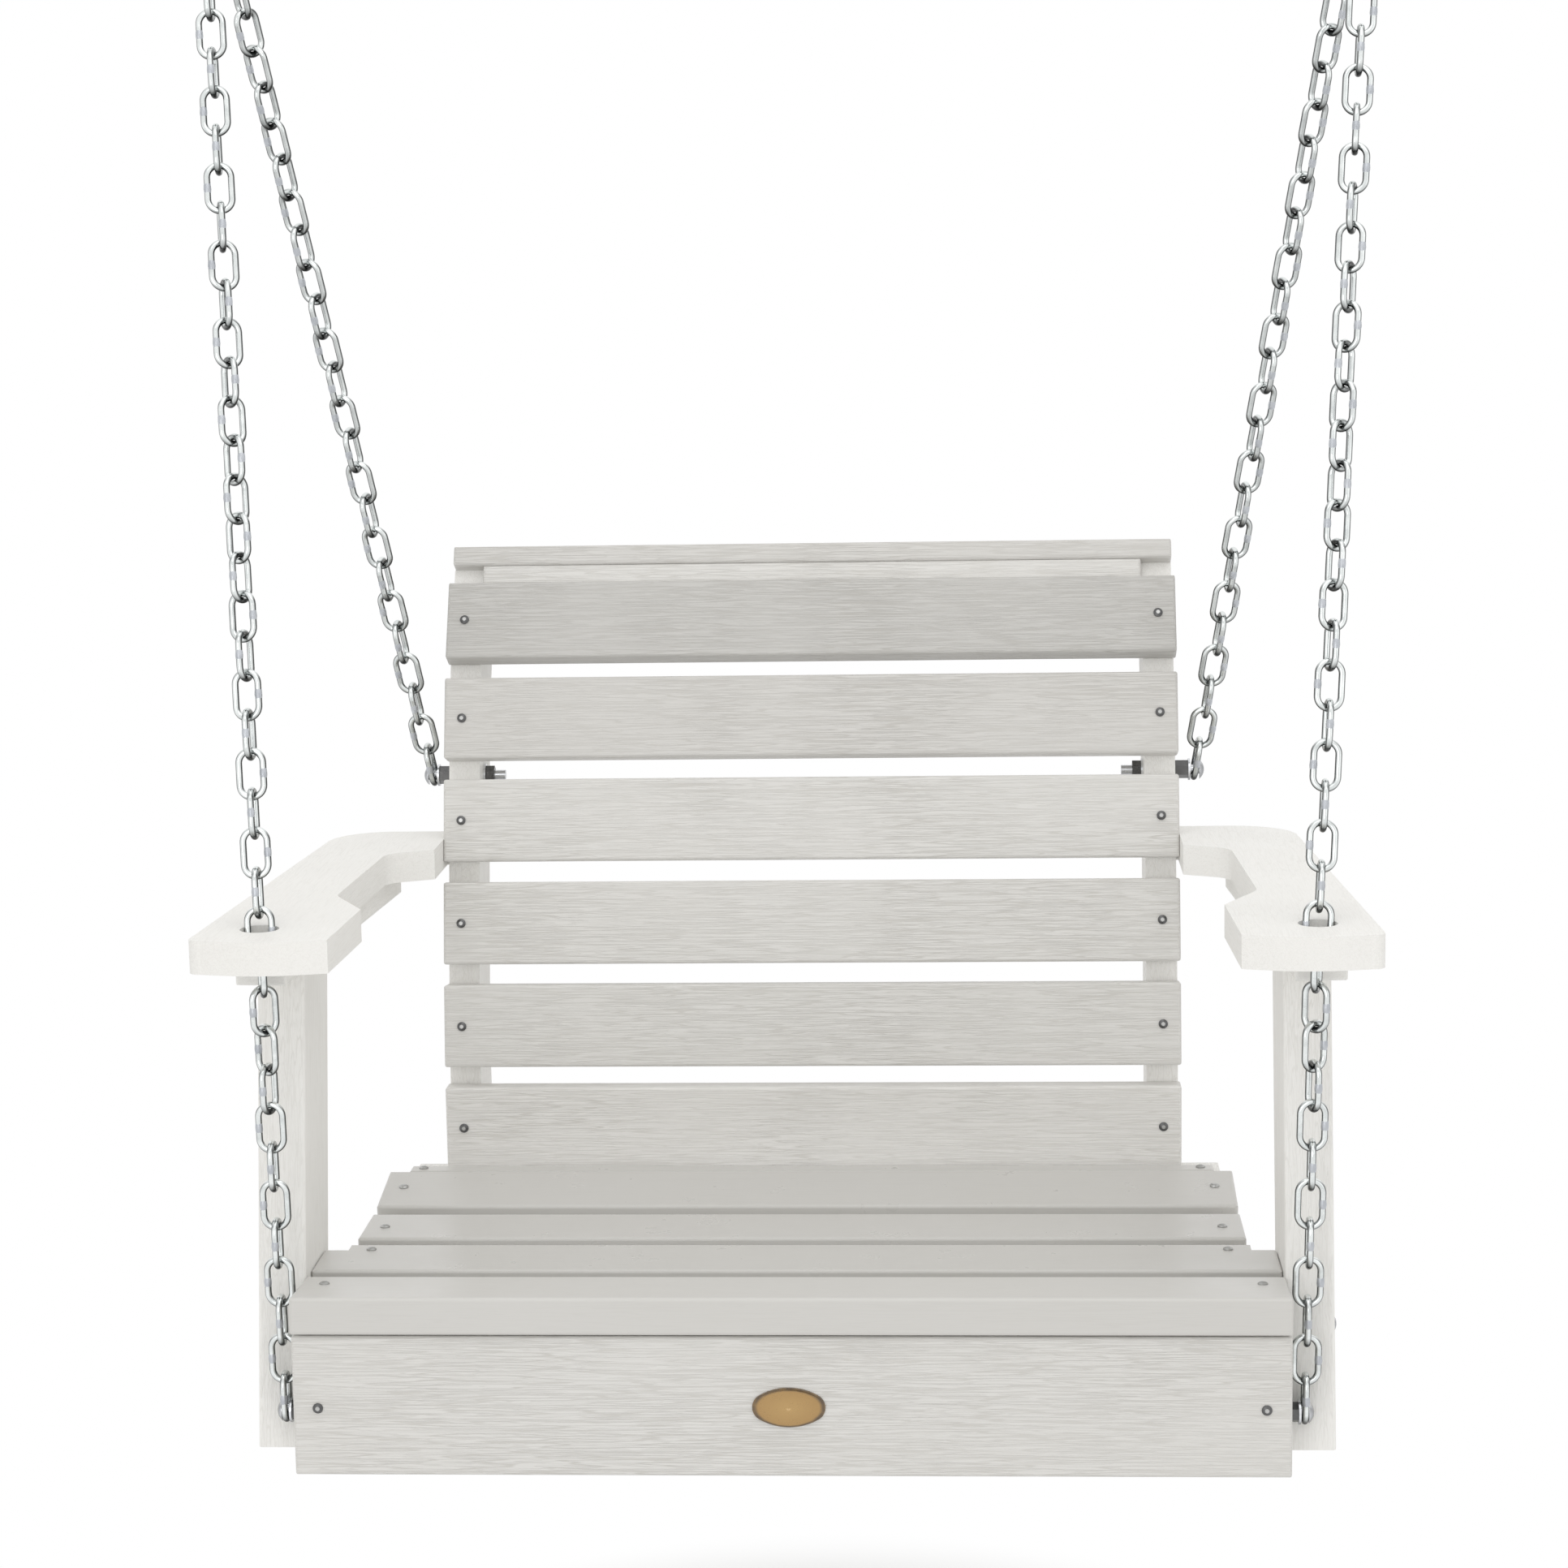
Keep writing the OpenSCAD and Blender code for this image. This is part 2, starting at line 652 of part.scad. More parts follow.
// The slat between the posts is notched behind the packers
notch_w = 19;
notch_d = slat_w - (packer_rear + fit - seat_front(1)[0]);
module post_slat() {
    difference() {
        seat_slat(1, 2 * (frame_x - fit), seat_slat_t);
        hung() on_slope(seat_front(1), seat_tilt[1]) pair()
            translate([frame_x - notch_w, slat_w - notch_d, -seat_slat_t - 1])
                cube([notch_w + 1, notch_d + 1, seat_slat_t + 2]);
    }
}
module rear_slat(k) {
    seat_slat(k, 2 * (rail_x + 2), seat_slat_t);
}
batten_inset = 11;
module seat_batten() {
    color(board_colour) hung() difference() {
        translate([0, batten_y, batten_z]) board(2 * (rail_x - batten_inset), batten_w, batten_t);
        pair() batten_screw(screw_bore, false);
    }
}
module seat_screws() {
    color(screw_colour) hung() pair() {
        for (k = [0:seats - 1]) seat_screw(k, screw_r, true);
        batten_screw(screw_r, true);
    }
}

// Boards across the back
module back_slat(k) {
    color(board_colour) hung() difference() {
        on_slope(back_low(k), 90 - back_lean[k]) board(back_len, slat_w, back_slat_t);
        pair() back_screw(k, screw_bore, false);
    }
}
module back_screws() {
    color(screw_colour) hung() pair() for (k = [0:backs - 1]) back_screw(k, screw_r, true);
}
// Boards under the cap, in its own slope
top_rail_t = 22;
top_rail_h = 40;
module on_cap() {
    color(board_colour) hung() on_slope(cap_base, -back_lean[backs - 1]) children();
}
module top_rail() {
    difference() {
        on_cap() translate([0, back_slat_t + hair, 0])
            board(2 * (upright_in - hair), top_rail_t, top_rail_h);
        hung() pair() cap_rail_screw(screw_bore, false);
    }
}
module cap_strip() {
    on_cap() translate([0, back_slat_t - cap_front + 1, 0])
        board(2 * (upright_in - hair), cap_front - 1, cap_gap);
}
module cap_board() {
    difference() {
        on_cap() translate([0, back_slat_t - cap_front, cap_t]) board(cap_len, cap_d, cap_t);
        hung() pair() {
            cap_upright_screw(screw_bore, false);
            cap_rail_screw(screw_bore, false);
        }
    }
}
module cap_screws() {
    color(screw_colour) hung() pair() {
        cap_upright_screw(screw_r, true);
        cap_rail_screw(screw_r, true);
    }
}

// Domed oval badge on the apron, with a thin rim
module oval(w, h) {
    a = w / 2;
    b = h / 2;
    end_r = 0.7 * b;
    side_r = (b * b + pow(a - end_r, 2) - end_r * end_r) / (2 * (b - end_r));
    meet = (a - end_r) * side_r / (side_r - end_r);
    for (s = [-1, 1]) translate([s * (a - end_r), 0]) circle(end_r);
    intersection() {
        translate([0, side_r - b]) circle(side_r, $fn = 180);
        translate([0, b - side_r]) circle(side_r, $fn = 180);
        square([2 * meet, h + 1], center = true);
    }
}
module badge() {
    sag = badge_dome - 1.2;
    ball = (pow(badge_w / 2, 2) + sag * sag) / (2 * sag);
    color(badge_colour) hung() translate([0, apron_y, apron_mid]) rotate([90, 0, 0]) {
        linear_extrude(1) oval(badge_w, badge_h);
        intersection() {
            linear_extrude(badge_dome + 1) oval(badge_w - 3, badge_h - 3);
            translate([0, 0, badge_dome - ball]) sphere(ball, $fn = 300);
        }
    }
}

side(-1) hanger();  // left_hanger
side(1) hanger();  // right_hanger
side(-1) ring();  // left_ring
side(1) ring();  // right_ring
side(-1) front_chain();  // left_front_chain
side(1) front_chain();  // right_front_chain
side(-1) rear_chain();  // left_rear_chain
side(1) rear_chain();  // right_rear_chain
front_chain_bolts();
rear_chain_bolts();
bolt_spacers();
bolt_washers();
bolt_nuts();
side(-1) seat_rail();  // left_seat_rail
side(1) seat_rail();  // right_seat_rail
side(-1) packer();  // left_packer
side(1) packer();  // right_packer
side(-1) post();  // left_post
side(1) post();  // right_post
post_bolts();
side(-1) upright();  // left_upright
side(1) upright();  // right_upright
upright_bolts();
side(-1) arm();  // left_arm
side(1) arm();  // right_arm
side(-1) cleat();  // left_cleat
side(1) cleat();  // right_cleat
arm_screws();
apron();
apron_screws();
front_slat();
post_slat();  // seat_slat_2
rear_slat(2);  // seat_slat_3
rear_slat(3);  // seat_slat_4
seat_batten();
seat_screws();
back_slat(0);  // back_slat_1
back_slat(1);  // back_slat_2
back_slat(2);  // back_slat_3
back_slat(3);  // back_slat_4
back_slat(4);  // back_slat_5
back_slat(5);  // back_slat_6
back_screws();
top_rail();
cap_strip();
cap_board();
cap_screws();
badge();
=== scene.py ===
import bpy
import bmesh
from math import asin, atan2, cos, pi, radians, sin
from mathutils import Matrix, Vector


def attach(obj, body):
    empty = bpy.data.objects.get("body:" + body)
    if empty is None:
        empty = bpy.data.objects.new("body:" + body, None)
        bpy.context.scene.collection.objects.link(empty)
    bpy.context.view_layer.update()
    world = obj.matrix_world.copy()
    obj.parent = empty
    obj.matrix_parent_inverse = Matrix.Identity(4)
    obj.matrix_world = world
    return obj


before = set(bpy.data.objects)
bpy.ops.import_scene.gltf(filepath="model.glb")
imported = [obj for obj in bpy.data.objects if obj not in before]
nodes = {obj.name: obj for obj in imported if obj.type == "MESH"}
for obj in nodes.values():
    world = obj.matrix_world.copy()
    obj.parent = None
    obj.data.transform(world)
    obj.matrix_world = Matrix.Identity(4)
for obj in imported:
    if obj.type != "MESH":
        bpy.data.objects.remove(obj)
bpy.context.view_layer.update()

# The seat's own frame, in millimetres: X right, Y back, Z up, from the middle of
# the front slat's top edge. In it the chains meet their rings at RING_Y and RING_Z.
# That point hangs RING_DROP below the ceiling, and the seat tips back by HANG_TILT.
RING_Y, RING_Z = 220.736, 1035.530
RING_DROP = 67.512
HANG_TILT = radians(-2.431316)
HANG = (Matrix.Translation((0, 0, -RING_DROP / 1000))
        @ Matrix.Rotation(HANG_TILT, 4, "X")
        @ Matrix.Translation((0, -RING_Y / 1000, -RING_Z / 1000)))


def round_ring(radius, sides, z=0.0):
    """Evenly spaced points round the Z axis."""
    turns = [2 * pi * k / sides for k in range(sides)]
    return [Vector((radius * cos(a), radius * sin(a), z)) for a in turns]


# ---------------------------------------------------------------- node tools

FLOAT, VECTOR = "NodeSocketFloat", "NodeSocketVector"


def add(tree, kind, at, **settings):
    """Adds a node at a place in the tree and sets its properties."""
    n = tree.nodes.new(kind)
    n.location = at
    for key, value in settings.items():
        setattr(n, key, value)
    return n


def feed(tree, value, socket):
    """Gives an input what another node puts out, or a plain value."""
    if isinstance(value, bpy.types.NodeSocket):
        tree.links.new(value, socket)
    else:
        socket.default_value = value


def put(tree, node, **values):
    """Feeds inputs by name, with an underscore for each space in it."""
    for key, value in values.items():
        feed(tree, value, node.inputs[key.replace("_", " ")])
    return node


def maths(tree, at, operation, *terms):
    """One step of arithmetic on sockets or numbers."""
    n = add(tree, "ShaderNodeMath", at, operation=operation)
    for term, socket in zip(terms, n.inputs):
        feed(tree, term, socket)
    return n.outputs[0]


def vector_maths(tree, at, operation, *terms):
    """One step of arithmetic on vectors; LENGTH gives a number."""
    n = add(tree, "ShaderNodeVectorMath", at, operation=operation)
    for term, socket in zip(terms, n.inputs):
        feed(tree, term, socket)
    return n.outputs["Value" if operation == "LENGTH" else "Vector"]


def noise(tree, at, vector, **values):
    """Noise over the surface, around 0.5."""
    n = add(tree, "ShaderNodeTexNoise", at)
    return put(tree, n, Vector=vector, **values).outputs["Fac"]


def level(tree, at, value, kind="LINEAR", **values):
    """Brings a value from one range to another, 0 to 1 unless it is given."""
    n = add(tree, "ShaderNodeMapRange", at, interpolation_type=kind)
    return put(tree, n, Value=value, **values).outputs[0]


def ramp(tree, at, value, stops):
    """Runs a value through (place, grey or colour) stops."""
    n = add(tree, "ShaderNodeValToRGB", at)
    bar = n.color_ramp.elements
    for i, (place, tone) in enumerate(stops):
        stop = bar[i] if i < 2 else bar.new(place)
        stop.position = place
        stop.color = (*tone, 1) if isinstance(tone, tuple) else (tone, tone, tone, 1)
    feed(tree, value, n.inputs[0])
    return n.outputs[0]


def mix(tree, at, share, a, b, kind="MIX"):
    """Blends colour b into colour a."""
    n = add(tree, "ShaderNodeMix", at, data_type="RGBA", blend_type=kind)
    return put(tree, n, Factor=share, A=a, B=b).outputs["Result"]


def bump(tree, at, height, strength, distance):
    """Normals of a relief; distance is its depth in metres."""
    n = add(tree, "ShaderNodeBump", at)
    return put(tree, n, Height=height, Strength=strength, Distance=distance).outputs[0]


def group(tree, at, which, **values):
    """Places a shared effect with its own values."""
    n = add(tree, "ShaderNodeGroup", at, node_tree=which)
    return put(tree, n, **values).outputs


def new_group(name, inputs, outputs):
    """Starts a shared effect; gives it with what goes in and what it puts out."""
    g = bpy.data.node_groups.new(name, "ShaderNodeTree")
    for label, kind, value in inputs:
        s = g.interface.new_socket(name=label, in_out="INPUT", socket_type=kind)
        if value is not None:
            s.default_value = value
    for label, kind in outputs:
        g.interface.new_socket(name=label, in_out="OUTPUT", socket_type=kind)
    start = add(g, "NodeGroupInput", (-900, 0))
    end = add(g, "NodeGroupOutput", (900, 0))
    return g, start.outputs, end.inputs


def new_material(name):
    """A material with its node tree, Principled shader and coordinates."""
    m = bpy.data.materials.new(name)
    m.use_nodes = True
    tree = m.node_tree
    tree.nodes.clear()
    out = add(tree, "ShaderNodeOutputMaterial", (900, 0))
    shader = add(tree, "ShaderNodeBsdfPrincipled", (600, 0))
    feed(tree, shader.outputs[0], out.inputs[0])
    place = add(tree, "ShaderNodeTexCoord", (-900, 0))
    return m, tree, shader, place.outputs


# ---------------------------------------------------------------- shared effects

def embossed_grain():
    """Thin wavy lines and finer dashes along X, as pressed into the boards."""
    line_band = ((0.45, 0.0), (0.485, 1.0), (0.515, 1.0), (0.55, 0.0))
    dash_band = ((0.45, 0.0), (0.49, 0.6), (0.51, 0.6), (0.55, 0.0))
    dash_count, patch_count = 820.0, 9.0
    least_wear = 0.6
    dash_relief = 0.35
    g, given, result = new_group(
        "embossed grain",
        [("Vector", VECTOR, None), ("Line Count", FLOAT, 470.0), ("Stretch", FLOAT, 0.030),
         ("Amount", FLOAT, 0.45)],
        [("Height", FLOAT), ("Mask", FLOAT)])
    shape = put(g, add(g, "ShaderNodeCombineXYZ", (-700, -200)),
                X=given["Stretch"], Y=1.0, Z=1.0)
    drawn_out = vector_maths(g, (-500, 0), "MULTIPLY", given["Vector"], shape.outputs[0])
    lines = noise(g, (-300, 100), drawn_out, Scale=given["Line Count"],
                  Detail=0.6, Roughness=0.5, Distortion=0.12)
    dashes = noise(g, (-300, -250), drawn_out, Scale=dash_count, Detail=1.0, Distortion=0.5)
    patches = noise(g, (-300, -480), given["Vector"], Scale=patch_count, Detail=1.0)
    wear = level(g, (-100, -480), patches, From_Min=0.35, From_Max=0.65, To_Min=least_wear)
    deepest = maths(g, (60, 0), "MAXIMUM",
                    ramp(g, (-100, 100), lines, line_band),
                    ramp(g, (-100, -250), dashes, dash_band))
    worn = maths(g, (200, 100), "MULTIPLY", deepest, wear)
    mask = maths(g, (330, 100), "MULTIPLY", worn, given["Amount"])
    ridges = maths(g, (330, -150), "MULTIPLY", dashes, dash_relief)
    feed(g, maths(g, (550, -50), "SUBTRACT", ridges, mask), result["Height"])
    # The Mask also darkens the board's colour in the sunk grain: painted shade.
    feed(g, mask, result["Mask"])
    return g


def soft_mottle():
    """Slow uneven patches between two values."""
    g, given, result = new_group(
        "soft mottle",
        [("Vector", VECTOR, None), ("Scale", FLOAT, 6.0), ("Low", FLOAT, 0.4),
         ("High", FLOAT, 0.6)],
        [("Value", FLOAT)])
    cloud = noise(g, (-300, 0), given["Vector"], Scale=given["Scale"],
                  Detail=4.0, Roughness=0.6)
    value = level(g, (0, 0), cloud, From_Min=0.3, From_Max=0.7,
                  To_Min=given["Low"], To_Max=given["High"])
    feed(g, value, result["Value"])
    return g


def painted_reflection_bands():
    """Painted reflection bands and painted shade on round steel, by the way it faces: darker
    sides and undersides, lighter tops.
    """
    front_to_back = ((0.0, 0.55), (0.20, 0.25), (0.45, 0.0), (0.66, 0.35), (0.84, 1.0))
    underside = 0.1
    g, given, result = new_group(
        "painted reflection bands", [("Normal", VECTOR, None), ("Depth", FLOAT, 0.5)], [("Value", FLOAT)])
    facing = add(g, "ShaderNodeSeparateXYZ", (-700, 0))
    feed(g, given["Normal"], facing.inputs[0])
    along_y = maths(g, (-500, 100), "ABSOLUTE", facing.outputs["Y"])
    below = level(g, (-300, -200), facing.outputs["Z"],
                  From_Min=-0.75, From_Max=-0.1, To_Min=underside)
    above = level(g, (-300, -450), facing.outputs["Z"], From_Min=0.35, From_Max=0.8)
    round_it = maths(g, (-50, 0), "MULTIPLY",
                     ramp(g, (-300, 100), along_y, front_to_back), below)
    lit = maths(g, (130, 0), "MAXIMUM", round_it, above)
    lack = maths(g, (310, 0), "SUBTRACT", 1.0, lit)
    share = maths(g, (490, 0), "MULTIPLY", lack, given["Depth"])
    feed(g, maths(g, (670, 0), "SUBTRACT", 1.0, share), result["Value"])
    return g


GRAIN = embossed_grain()
MOTTLE = soft_mottle()
PAINTED_REFLECTION_BANDS = painted_reflection_bands()


# ---------------------------------------------------------------- finishes

BODY_SHADE = (0.98, 0.978, 0.972)
PAINTED_RECESS_SHADE = (0.78, 0.77, 0.75)


def shaded(tint, shade):
    """A board's tint made a little darker."""
    return (*(t * s for t, s in zip(tint, shade)), 1)


def synthetic_board(name, turn, tint, emboss=0.8, rough=(0.42, 0.52), lift=0.00030):
    """White synthetic wood; turn brings the board's length onto X."""
    m, tree, shader, here = new_material(name)
    lay = put(tree, add(tree, "ShaderNodeMapping", (-700, 0)),
              Vector=here["Object"], Rotation=turn)
    grain = group(tree, (-450, -200), GRAIN, Vector=lay.outputs[0], Amount=emboss)
    tone = group(tree, (-450, 100), MOTTLE, Vector=here["Object"], Scale=4.0, Low=0.0, High=1.0)
    sheen = group(tree, (-150, -100), MOTTLE, Vector=lay.outputs[0], Scale=30.0,
                  Low=rough[0], High=rough[1])
    body = mix(tree, (-150, 150), tone["Value"], (*tint, 1), shaded(tint, BODY_SHADE))
    # Painted shade: the board is darkened where the grain is pressed in.
    grain_painted_shade = mix(tree, (100, 100), grain["Mask"], body, shaded(tint, PAINTED_RECESS_SHADE))
    put(tree, shader, Base_Color=grain_painted_shade, Roughness=sheen["Value"],
        Normal=bump(tree, (300, -300), grain["Height"], strength=0.7, distance=lift),
        Specular_IOR_Level=0.42)
    return m


def plated_steel(name, bright, dull, rough, pitting=0.00004, shade=0.0):
    """Zinc-plated steel; shade sets how deep the painted reflection bands and painted shade are
    round the wire's sides and undersides.
    """
    m, tree, shader, here = new_material(name)
    patch = group(tree, (-450, 100), MOTTLE, Vector=here["Object"],
                  Scale=90.0, Low=0.0, High=0.6)
    worn = group(tree, (-450, -100), MOTTLE, Vector=here["Object"],
                 Scale=60.0, Low=rough[0], High=rough[1])
    # Painted reflection and painted shade: darker round the wire's sides and underneath,
    # lighter on top.
    painted_bands = group(tree, (-250, 350), PAINTED_REFLECTION_BANDS, Normal=here["Normal"], Depth=shade)
    pits = noise(tree, (-300, -300), here["Object"], Scale=900.0)
    skin = mix(tree, (-200, 100), patch["Value"], (*bright, 1), (*dull, 1))
    tone = mix(tree, (100, 200), 1.0, skin, painted_bands["Value"], "MULTIPLY")
    put(tree, shader, Base_Color=tone, Roughness=worn["Value"], Metallic=1.0,
        Normal=bump(tree, (200, -300), pits, strength=0.4, distance=pitting))
    return m


def oval_gold(name, middle, half_size):
    """Muted gold dome that darkens at its rim."""
    gold, rubbed, rim = (0.50, 0.31, 0.10), (0.46, 0.28, 0.085), (0.08, 0.05, 0.025)
    near_rim = (0.40, 0.23, 0.065)
    m, tree, shader, here = new_material(name)
    offset = vector_maths(tree, (-700, 0), "SUBTRACT", here["Object"], middle)
    share = vector_maths(tree, (-520, 0), "DIVIDE", offset, half_size)
    reach = vector_maths(tree, (-340, 0), "LENGTH", share)
    dome = ramp(tree, (-160, 0), reach, ((0.0, gold), (0.84, near_rim), (0.93, rim)))
    rub = group(tree, (-160, 250), MOTTLE, Vector=here["Object"],
                Scale=220.0, Low=0.0, High=0.35)
    gloss = group(tree, (150, -200), MOTTLE, Vector=here["Object"],
                  Scale=300.0, Low=0.24, High=0.38)
    put(tree, shader, Base_Color=mix(tree, (150, 100), rub["Value"], dome, (*rubbed, 1)),
        Roughness=gloss["Value"], Metallic=0.25, Coat_Weight=1.0, Coat_Roughness=0.12)
    return m


BOARD = (0.765, 0.757, 0.737)
# Painted light: a lighter copy of the board tint for the low back slat.
LOW_BOARD_PAINTED_LIGHT = (0.83, 0.82, 0.80)
# Painted shade: darker copies of the board tint for the upper and top back slats, the cap
# board, the seat and the front slat.
UPPER_BOARD_PAINTED_SHADE = (0.69, 0.68, 0.66)
TOP_BOARD_PAINTED_SHADE = (0.595, 0.588, 0.57)
SEAT_BOARD_PAINTED_SHADE = (0.62, 0.612, 0.592)
FRONT_BOARD_PAINTED_SHADE = (0.67, 0.662, 0.642)
# Painted light: lighter copies of the board tint for the arms and cleats, and for the posts,
# uprights, rails and packers.
ARM_BOARD_PAINTED_LIGHT = (0.95, 0.945, 0.925)
POST_BOARD_PAINTED_LIGHT = (0.96, 0.955, 0.935)

# Turns that bring a board's length onto X.
ALONG_X = (0, 0, 0)
ALONG_Y = (0, 0, radians(-90))
ALONG_Z = (0, radians(90), 0)
ALONG_POST = (radians(8.5), radians(90), 0)

BADGE_MIDDLE = HANG @ Vector((0, 0.002, -0.0805))
BADGE_HALF = (0.026, 1.0, 0.0145)

slat_finish = synthetic_board("embossed slat board", ALONG_X, BOARD)
# Painted light: the low back slat wears a lighter copy of the board.
low_finish_painted_light = synthetic_board("embossed low slat board, painted light", ALONG_X, LOW_BOARD_PAINTED_LIGHT)
# Painted shade: the upper and top back slats, cap board, seat slats, batten and front slat wear
# darker copies of the board.
upper_finish_painted_shade = synthetic_board("embossed upper slat board, painted shade", ALONG_X, UPPER_BOARD_PAINTED_SHADE)
top_finish_painted_shade = synthetic_board("embossed top slat board, painted shade", ALONG_X, TOP_BOARD_PAINTED_SHADE)
seat_finish_painted_shade = synthetic_board("smoother seat board, painted shade", ALONG_X, SEAT_BOARD_PAINTED_SHADE, emboss=0.10,
                              rough=(0.26, 0.36), lift=0.00004)
front_finish_painted_shade = synthetic_board("smoother front board, painted shade", ALONG_X, FRONT_BOARD_PAINTED_SHADE, emboss=0.12,
                               rough=(0.30, 0.40), lift=0.00006)
# Painted light: the posts, uprights, arms, cleats, rails and packers wear lighter copies of the
# board.
post_finish_painted_light = synthetic_board("embossed post board, painted light", ALONG_POST, POST_BOARD_PAINTED_LIGHT, emboss=0.45)
upright_finish_painted_light = synthetic_board("embossed upright board, painted light", ALONG_Z, POST_BOARD_PAINTED_LIGHT, emboss=0.45)
arm_finish_painted_light = synthetic_board("arm board, painted light", ALONG_Y, ARM_BOARD_PAINTED_LIGHT, emboss=0.3)
rail_finish_painted_light = synthetic_board("rail board, painted light", ALONG_Y, POST_BOARD_PAINTED_LIGHT)
# shade paints reflection bands and shade into the plating of the links, screw eyes and bolts.
chain_finish = plated_steel("bright zinc links", (0.88, 0.91, 0.90), (0.50, 0.53, 0.53),
                            (0.12, 0.24), shade=0.98)
weld_finish = plated_steel("chain weld beads", (0.58, 0.60, 0.63), (0.36, 0.38, 0.41),
                           (0.34, 0.5), pitting=0.00015)
hanger_finish = plated_steel("zinc screw eyes", (0.74, 0.76, 0.78), (0.58, 0.60, 0.63),
                             (0.26, 0.38), shade=0.5)
bolt_finish = plated_steel("plated bolts", (0.84, 0.85, 0.87), (0.62, 0.64, 0.67),
                           (0.2, 0.32), shade=0.6)
dark_finish = plated_steel("dull dark plating", (0.17, 0.17, 0.17), (0.08, 0.08, 0.08),
                           (0.22, 0.4))
screw_finish = plated_steel("grey coated screws", (0.15, 0.15, 0.15), (0.09, 0.09, 0.09),
                            (0.3, 0.42))
pale_screw_finish = plated_steel("pale coated screws", (0.50, 0.50, 0.49), (0.36, 0.36, 0.35),
                                 (0.3, 0.42))
# Painted highlight: the lighter crown discs stand for the bright spot on each screw head.
crown_finish_painted_highlight = plated_steel("screw crowns, painted highlight", (0.58, 0.58, 0.57), (0.38, 0.38, 0.37),
                            (0.3, 0.45))
badge_finish = oval_gold("muted gold oval", BADGE_MIDDLE, BADGE_HALF)

FINISH_BY_NAME = {
    "back_slat_1": low_finish_painted_light,
    "back_slat_5": upper_finish_painted_shade,
    "cap_board": upper_finish_painted_shade,
    "back_slat_6": top_finish_painted_shade,
    "front_slat": front_finish_painted_shade,
    "apron": slat_finish,
    "cap_strip": slat_finish,
    "top_rail": slat_finish,
    "seat_batten": seat_finish_painted_shade,
    "bolt_spacers": dark_finish,
    "bolt_nuts": dark_finish,
    "seat_screws": pale_screw_finish,
    "badge": badge_finish,
}
FINISH_BY_START = {"back_slat": slat_finish, "seat_slat": seat_finish_painted_shade}
FINISH_BY_END = {
    "_post": post_finish_painted_light,
    "_upright": upright_finish_painted_light,
    "_arm": arm_finish_painted_light,
    "_cleat": arm_finish_painted_light,
    "_rail": rail_finish_painted_light,
    "_packer": rail_finish_painted_light,
    "_chain": chain_finish,
    "_ring": chain_finish,
    "_hanger": hanger_finish,
    "_bolts": bolt_finish,
    "_washers": bolt_finish,
    "_nuts": bolt_finish,
    "_screws": screw_finish,
}


def finish_of(name):
    """The finish of a piece: by its full name, or by how its name starts or ends."""
    starts = (f for start, f in FINISH_BY_START.items() if name.startswith(start))
    ends = (f for end, f in FINISH_BY_END.items() if name.endswith(end))
    return FINISH_BY_NAME.get(name) or next(starts, None) or next(ends)


# Each piece wears its finish through its own slots.
for name, o in nodes.items():
    o.data.materials.clear()
    o.data.materials.append(finish_of(name))
    for s in o.material_slots:
        s.link = "OBJECT"
        s.material = finish_of(name)


# ---------------------------------------------------------------- eased edges

SAWN_BOARDS = ("arm", "post", "upright", "seat_rail", "packer")
EDGE_WIDTH = 0.0022


def ease_edges(o, width):
    """Rounds the sawn edges of a board that is left square."""
    b = o.modifiers.new("eased edges", "BEVEL")
    b.width = width
    b.segments = 3
    b.limit_method = "ANGLE"
    b.angle_limit = radians(35)
    b.harden_normals = True


for board in SAWN_BOARDS:
    for side in ("left", "right"):
        ease_edges(nodes[f"{side}_{board}"], EDGE_WIDTH)


# ---------------------------------------------------------------- added pieces

def object_from(name, bm, finish):
    """Turns a drawn mesh into an object that wears a finish."""
    mesh = bpy.data.meshes.new(name)
    bm.to_mesh(mesh)
    bm.free()
    mesh.materials.append(finish)
    o = bpy.data.objects.new(name, mesh)
    bpy.context.scene.collection.objects.link(o)
    return o


def riding_piece(name, bm, finish, body):
    """A smooth piece that moves with one body."""
    bmesh.ops.recalc_face_normals(bm, faces=bm.faces)
    for f in bm.faces:
        f.smooth = True
    o = object_from(name, bm, finish)
    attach(o, body)
    return o


# ---------------------------------------------------------------- chain welds

# The chains, in millimetres of the seat's own frame, for the right side.
WIRE, LINK_LEN, LINK_IN, PLAY, BOLT = 4.8, 28.65, 12.6, 0.25, 8.0
PITCH = LINK_LEN - PLAY
FRONT_BOLT = Vector((366.6, 37.0, -95.0))
BEND = Vector((374.0, 44.6, 241.633))
BACK_BOLT = Vector((314.3, 474.581, 303.646))
RING_POINT = Vector((423.398, RING_Y, RING_Z))

# Number of links in each run, and the (link, degrees) pairs of its slow twist.
LOW_LINKS, LOW_TWIST = 12, ((7, 0), (12, 90))
HIGH_LINKS, HIGH_TWIST = 28, ((4, 0), (21, 90))
REAR_LINKS, REAR_TWIST = 27, ((0, 0), (21, 30), (26, 90))

# (place along the wire, radius) of the rings that make a weld's low collar.
WELD_RINGS = ((-3.6, 2.40), (-2.2, 2.62), (-0.6, 2.80), (0.7, 2.74), (2.3, 2.60), (3.5, 2.40))
WELD_SIDES = 12
WELD_WOBBLE = 0.012


def gained_turn(i, twist):
    """Degrees gained by link i, shared out between the (link, degrees) pairs."""
    for (low, less), (high, more) in zip(twist, twist[1:]):
        if i <= high:
            return less + (more - less) * max(0, i - low) / (high - low)
    return twist[-1][1]


